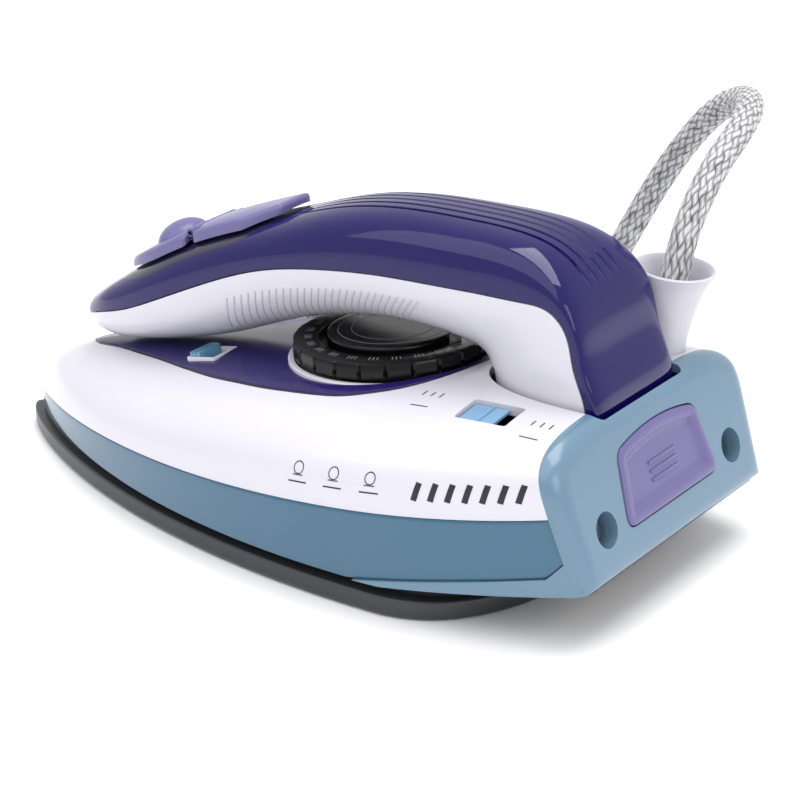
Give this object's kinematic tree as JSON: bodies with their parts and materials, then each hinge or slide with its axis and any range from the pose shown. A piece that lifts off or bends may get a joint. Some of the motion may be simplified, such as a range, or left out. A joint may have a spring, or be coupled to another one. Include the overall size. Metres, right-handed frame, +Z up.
{
  "type": "folding travel steam iron",
  "caption": "Small steam iron with a folding handle that is also the water tank, a temperature dial, a steam slider and a mains cord.",
  "frame": {"origin": "centre of the object's box, without the cord, on the plane of the soleplate's underside", "axes": "+X from the pointed nose to the heel, +Y to the right of someone ironing with the nose forward, +Z up"},
  "size_m": [0.1864, 0.2006, 0.0932],
  "materials": {
    "sole": "satin",
    "steel": "brushed",
    "element": "satin",
    "gasket": "matt",
    "black_plastic": "matt",
    "shield": "matt",
    "skirt_blue": "gloss",
    "body_white": "gloss",
    "heel_blue": "gloss",
    "console_violet": "gloss",
    "cover_violet": "clear",
    "lavender": "satin",
    "dial_black": "satin",
    "peg_grey": "satin",
    "slider_blue": "gloss",
    "slider_pale": "satin",
    "frame_grey": "matt",
    "clear": "clear",
    "brass": "satin",
    "gland_white": "satin",
    "cord_fabric": "woven",
    "tie": "matt",
    "lead": "matt"
  },
  "bodies": {
    "base": {"soleplate": "sole", "heating_element": "element", "chamber_gasket": "gasket", "steam_chamber_cover": "steel", "drip_valve_body": "black_plastic", "thermostat": "steel", "thermal_fuse": "steel", "fuse_clip": "steel", "heat_shield": "shield", "lower_skirt": "skirt_blue", "upper_casing": "body_white", "heel_cover": "heel_blue", "heel_screws": "steel", "console_panel": "console_violet", "dial_collar": "body_white", "slider_bezel": "body_white", "inner_frame": "frame_grey", "frame_screws": "steel", "pivot_pin": "steel", "button_spring": "steel", "voltage_switch": "black_plastic", "terminal_block": "black_plastic", "inner_lead": "lead", "cord_clamp": "frame_grey", "water_hose": "clear", "cord_gland": "gland_white", "cord_tube": "cord_fabric", "cord_coil": "cord_fabric", "coil_tie": "tie", "plug_body": "black_plastic", "plug_pins": "brass"},
    "dial": {"temperature_dial": "dial_black", "dial_cap": "dial_black", "dial_peg": "peg_grey", "thermostat_spindle": "brass"},
    "steam_slider": {"steam_slider": "slider_blue"},
    "voltage_slider": {"voltage_slider": "slider_pale"},
    "push_button": {"push_button": "lavender"},
    "handle": {"handle_lower_shell": "body_white", "handle_cover": "cover_violet", "tank_tray": "clear", "tank_outlet": "clear", "hinge_yoke": "frame_grey", "pivot_bushes": "brass", "yoke_screws": "steel", "lid_trim_plate": "lavender", "lid_hinge_pin": "steel"},
    "lid": {"filler_lid": "lavender", "lid_seal": "gasket"}
  },
  "joints": [
    {"name": "handle_fold", "type": "hinge", "parent": "base", "child": "handle", "pos_m": [0.07511, 0, 0.04063], "axis": [0, 1, 0], "range_deg": [0, 17]},
    {"name": "filler_lid", "type": "hinge", "parent": "handle", "child": "lid", "pos_m": [-0.0334, 0, 0.06193], "axis": [0, 1, 0], "range_deg": [0, 70]},
    {"name": "dial_turn", "type": "hinge", "parent": "base", "child": "dial", "pos_m": [0.01776, 0, 0.0454], "axis": [-0.061, 0, 0.9981], "range_deg": [0, 270]},
    {"name": "steam_slide", "type": "slide", "parent": "base", "child": "steam_slider", "axis": [0.9842, 0, 0.1771], "range_m": [0, 0.0038]},
    {"name": "voltage_slide", "type": "slide", "parent": "base", "child": "voltage_slider", "axis": [0.9997, 0, 0.0243], "range_m": [0, 0.0032]},
    {"name": "button_press", "type": "slide", "parent": "base", "child": "push_button", "axis": [-0.9508, 0, -0.3099], "range_m": [0, 0.0025], "stiffness_N_per_m": 600, "deforming": ["button_spring"]}
  ]
}
